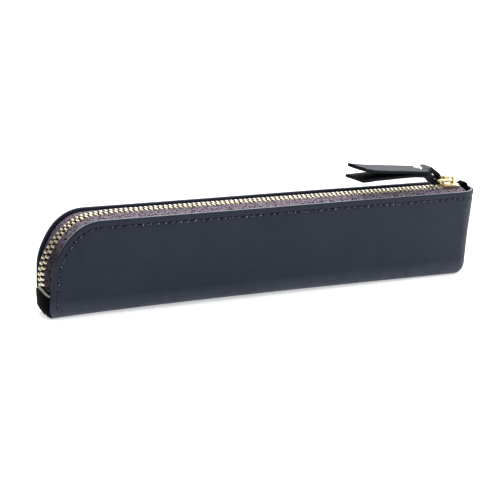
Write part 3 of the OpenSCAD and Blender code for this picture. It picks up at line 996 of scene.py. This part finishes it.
def crown_piece():
    """The bail on the slider, a strip bent into an arch that holds the link."""
    low, high = (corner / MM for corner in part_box("slider_crown"))
    length, wall, half_wide = high.x - low.x, 0.8, 1.2
    bottom = low.z - 0.1

    def arch(inset):
        half, r = length / 2 - inset, 1.7 - inset * 0.7
        middle = (low.x + high.x) / 2
        top = high.z - inset
        line = [(middle - half, bottom)]
        for side in (-1, 1):
            for k in range(9):
                a = math.pi / 2 * k / 8 if side < 0 else math.pi / 2 * (1 - k / 8)
                line.append((middle + side * (half - r + r * math.cos(a)), top - r + r * math.sin(a)))
        return line + [(middle + half, bottom)]

    outer, inner = arch(0.0), arch(wall)
    rings = []
    for (ox, oz), (ix, iz) in zip(outer, inner):
        ring = []
        mx, mz = (ox + ix) / 2, (oz + iz) / 2
        span = math.hypot(ox - ix, oz - iz) / 2
        ux, uz = (ox - ix) / (2 * span), (oz - iz) / (2 * span)
        for a, b in oblong(half_wide, span, 16, 5.0):
            ring.append((mx + ux * b, a, mz + uz * b))
        rings.append(ring)
    points, faces = loft(rings)
    return make("slider_bail", points, faces, [GOLD], "slider", ["slider_crown"])


def link_piece():
    """The wire ring, with rounded corners, between the bail and the pull."""
    low, high = (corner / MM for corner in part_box("puller_link"))
    r = (high.z - low.z) / 2
    half_x, half_y = (high.x - low.x) / 2 - r, (high.y - low.y) / 2 - r
    centre_x, centre_z = (high.x + low.x) / 2, (high.z + low.z) / 2
    bend, rings = 0.9, []
    for quarter in range(4):
        sx, sy = ((1, 1), (-1, 1), (-1, -1), (1, -1))[quarter]
        for k in range(9):
            a = math.pi / 2 * (quarter + k / 8)
            cx, cy = sx * (half_x - bend), sy * (half_y - bend)
            out = (math.cos(a), math.sin(a))
            x, y = cx + bend * out[0], cy + bend * out[1]
            rings.append([(centre_x + x + out[0] * r * math.cos(b), y + out[1] * r * math.cos(b),
                           centre_z + r * math.sin(b)) for b in (2 * math.pi * i / 20 for i in range(20))])
    points, faces = loft(rings + rings[:1])
    return make("puller_ring", points, faces[:-2], [GOLD], "link", ["puller_link"])


slider_piece()
crown_piece()
link_piece()

# ---- Leather pull ----

bar = next(joint for joint in frame["joints"] if joint["name"] == "pull_swing")
BAR_X, BAR_Z = (c / MM for c in (bar["pos_m"][0], bar["pos_m"][2]))
PLY = 1.52
LOOP_R = 0.8 + PLY / 2
NECK_HALF, PULL_HALF = 2.15, 6.0


def pull_line():
    """Middle line of the folded strip, from the upper free end round the bar to the lower one."""
    upper = [(40.6, 7.62), (38.0, 7.18), (35.0, 6.82), (30.0, 6.36), (25.0, 5.96), (20.0, 5.58),
             (15.5, 5.22), (12.0, 4.94), (9.6, 4.74), (8.4, 4.68), (7.5, 4.76), (6.6, 5.10), (5.6, 5.56),
             (4.6, 5.72), (3.7, 5.42), (2.8, 4.86), (1.6, 4.06), (0.4, 3.28), (-0.7, 2.46), (-1.4, 1.45)]
    loop = [(LOOP_R * math.cos(a), LOOP_R * math.sin(a))
            for a in (math.radians(d) for d in range(168, 318, 12))]
    lower = [(1.9, -0.70), (3.0, 0.35), (4.2, 1.45), (5.4, 2.25), (6.6, 2.75), (8.0, 3.05), (9.6, 3.22),
             (12.0, 3.42), (15.0, 3.60), (18.0, 3.62), (22.5, 3.54), (27.0, 3.42), (32.0, 3.26),
             (36.5, 3.12), (41.3, 3.00)]
    return upper + loop + lower


def smoothed(line, steps=3):
    """A smooth curve through points in a plane."""
    dense = []
    for k in range(len(line) - 1):
        p = [line[min(max(i, 0), len(line) - 1)] for i in (k - 1, k, k + 1, k + 2)]
        for j in range(steps):
            t = j / steps
            dense.append(tuple(
                0.5 * (2 * p[1][c] + (p[2][c] - p[0][c]) * t
                       + (2 * p[0][c] - 5 * p[1][c] + 4 * p[2][c] - p[3][c]) * t * t
                       + (3 * p[1][c] - p[0][c] - 3 * p[2][c] + p[3][c]) * t ** 3)
                for c in (0, 1)))
    return dense + [line[-1]]


NECK_FILL = ((1.2, 0.0), (2.6, 1.45), (3.2, 1.50), (3.7, 1.40), (4.6, 1.15), (5.4, 0.84), (6.0, 0.58),
             (6.6, 0.34), (7.5, 0.09), (8.4, 0.0))


def neck_fill(u):
    """How much the plies thicken inwards at the neck, where they nearly close behind the loop."""
    for (u0, fill0), (u1, fill1) in zip(NECK_FILL, NECK_FILL[1:]):
        if u0 <= u < u1:
            return mix(fill0, fill1, (u - u0) / (u1 - u0))
    return 0.0


def pull_half(u):
    """Half the pull's width, widening from its neck."""
    return mix(NECK_HALF, PULL_HALF, smooth((u - 3.0) / 5.4))


def pull_piece():
    """The pull's leather: one strip folded round the bar, its free ends cut aslant."""
    line = smoothed(pull_line())
    rings = []
    last = len(line) - 1
    for k, (u, w) in enumerate(line):
        before, after = line[max(k - 1, 0)], line[min(k + 1, last)]
        du, dw = after[0] - before[0], after[1] - before[1]
        length = math.hypot(du, dw)
        nu, nw = -dw / length, du / length
        half = pull_half(u)
        swell = neck_fill(u)
        ring = []
        for a, b in oblong(1.0, 1.0, 40, 9.0):
            y = a * half
            edge = 1 - 0.12 * abs(a) ** 8
            away = b * (PLY / 2 + (swell if b > 0 else 0.0)) * edge
            end = smooth((u - 34.0) / 6.0)
            slant = end * y / PULL_HALF
            cup = 0.14 * end * (y / PULL_HALF) ** 2 * (1 if w > 5.5 else -1)
            rough = 0.05 * noise.noise(Vector((u / 5, y / 4, w / 3)))
            x = BAR_X - (u + slant + nu * away)
            ring.append((x, y, BAR_Z + w + nw * (away + rough) + cup))
        rings.append(ring)
    points, faces = loft(rings)
    count = len(rings[0])
    where = []
    for _ in range(len(rings) - 1):
        for i in range(count):
            a = 2 * math.pi * (i + 1.0) / count
            side = abs(math.cos(a)) > abs(math.sin(a)) * 1.04
            where.append(1 if side else 2 if math.sin(a) > 0 else 0)
    # Inner faces take the darker inside material: the flesh side's own tone and painted shade between the
    # plies.
    return make("pull_leather", points, faces, [PULL_NAVY, PULL_EDGE, FLESH_AND_SHADE], "pull",
                ["pull_strap"], where + [1, 1], 60)


RIVET_AT, RIVET_TOP, RIVET_PITCH = 9.4, 5.5, math.radians(4.5)


def turned(name, profile, material, replaced):
    """A turned piece on the rivet's axis: profile is (radius, height above the leather)."""
    count = 40
    origin = Vector((BAR_X - RIVET_AT, 0, BAR_Z + RIVET_TOP))
    tilt = Matrix.Rotation(RIVET_PITCH, 3, "Y")
    rings = []
    for radius, height in profile:
        ring = []
        for i in range(count):
            a = 2 * math.pi * i / count
            p = origin + tilt @ Vector((radius * math.cos(a), radius * math.sin(a), height))
            ring.append(tuple(p))
        rings.append(ring)
    points, faces = loft(rings)
    return make(name, points, faces, [material], "pull", [replaced], sharp=50)


def rivet_pieces():
    cap_r, rise = 2.2, 1.15
    dome = [(cap_r * math.cos(a) * 0.96, 0.28 + rise * math.sin(a) * 0.86)
            for a in (math.pi / 2 * k / 10 for k in range(10))]
    skirt = [(0.9, -0.05), (cap_r - 0.15, -0.05), (cap_r, 0.08), (cap_r, 0.2)]
    cap = skirt + dome + [(0.05, 0.28 + rise * 0.86)]
    turned("rivet_dome", cap, CHROME, "rivet_cap")
    foot = [(0.05, -3.85), (1.5, -3.85), (1.85, -3.75), (1.95, -3.55), (1.85, -3.4), (0.98, -3.38),
            (0.98, -0.1), (0.05, -0.1)]
    turned("rivet_shank", foot, CHROME, "rivet_post")


pull_piece()
rivet_pieces()

# ---- Nodes that keep their CAD shape ----

spring = frame["nodes"]["lock_spring"].data.materials
spring.clear()
spring.append(STEEL)

# ---- Floor and light ----

def floor():
    """A white floor, which glows a little so that it takes hardly any shadow."""
    mesh = bpy.data.meshes.new("floor")
    mesh.from_pydata([(-4, -4, 0), (4, -4, 0), (4, 4, 0), (-4, 4, 0)], [], [(0, 1, 2, 3)])
    n = Nodes("floor")
    colour = n.ramp(n.noise(3.0, 2.0), [(0.3, (0.90, 0.90, 0.90)), (0.7, (0.92, 0.92, 0.92))])
    mesh.materials.append(n.finish(colour, 0.9, Emission_Color=(1, 1, 1, 1), Emission_Strength=0.5))
    sheet = bpy.data.objects.new("floor", mesh)
    bpy.context.collection.objects.link(sheet)


def area_light(name, place, aim, size, power):
    data = bpy.data.lights.new(name, "AREA")
    data.shape = "RECTANGLE"
    data.size, data.size_y = size
    data.energy = power
    lamp = bpy.data.objects.new(name, data)
    bpy.context.collection.objects.link(lamp)
    lamp.location = place
    lamp.rotation_euler = (Vector(aim) - Vector(place)).to_track_quat("-Z", "Y").to_euler()


def sun(strength, direction, spread):
    data = bpy.data.lights.new("sun", "SUN")
    data.energy = strength
    data.angle = math.radians(spread)
    lamp = bpy.data.objects.new("sun", data)
    bpy.context.collection.objects.link(lamp)
    lamp.rotation_euler = Vector(direction).to_track_quat("-Z", "Y").to_euler()


def lights():
    """A wide sun from above, two soft lamps, and a world that is darker on the left."""
    sun(2.2, (-0.06, -0.22, -1.0), 110)
    area_light("back", (0.25, 0.60, 0.42), (0, 0, 0.03), (0.8, 0.35), 3)
    area_light("side", (0.75, -0.35, 0.30), (0.05, 0, 0.02), (0.4, 0.4), 2.5)
    world = bpy.data.worlds.new("studio")
    bpy.context.scene.world = world
    world.use_nodes = True
    tree = world.node_tree
    split = tree.nodes.new("ShaderNodeSeparateXYZ")
    tree.links.new(tree.nodes.new("ShaderNodeTexCoord").outputs["Generated"], split.inputs[0])
    side = tree.nodes.new("ShaderNodeMapRange")
    side.inputs["From Min"].default_value, side.inputs["From Max"].default_value = -0.9, 0.3
    side.inputs["To Min"].default_value, side.inputs["To Max"].default_value = 0.05, 0.55
    tree.links.new(split.outputs["X"], side.inputs["Value"])
    tree.nodes["Background"].inputs["Color"].default_value = (0.97, 0.98, 1.0, 1)
    tree.links.new(side.outputs[0], tree.nodes["Background"].inputs["Strength"])


floor()
lights()
bpy.context.scene.view_settings.view_transform = "Standard"
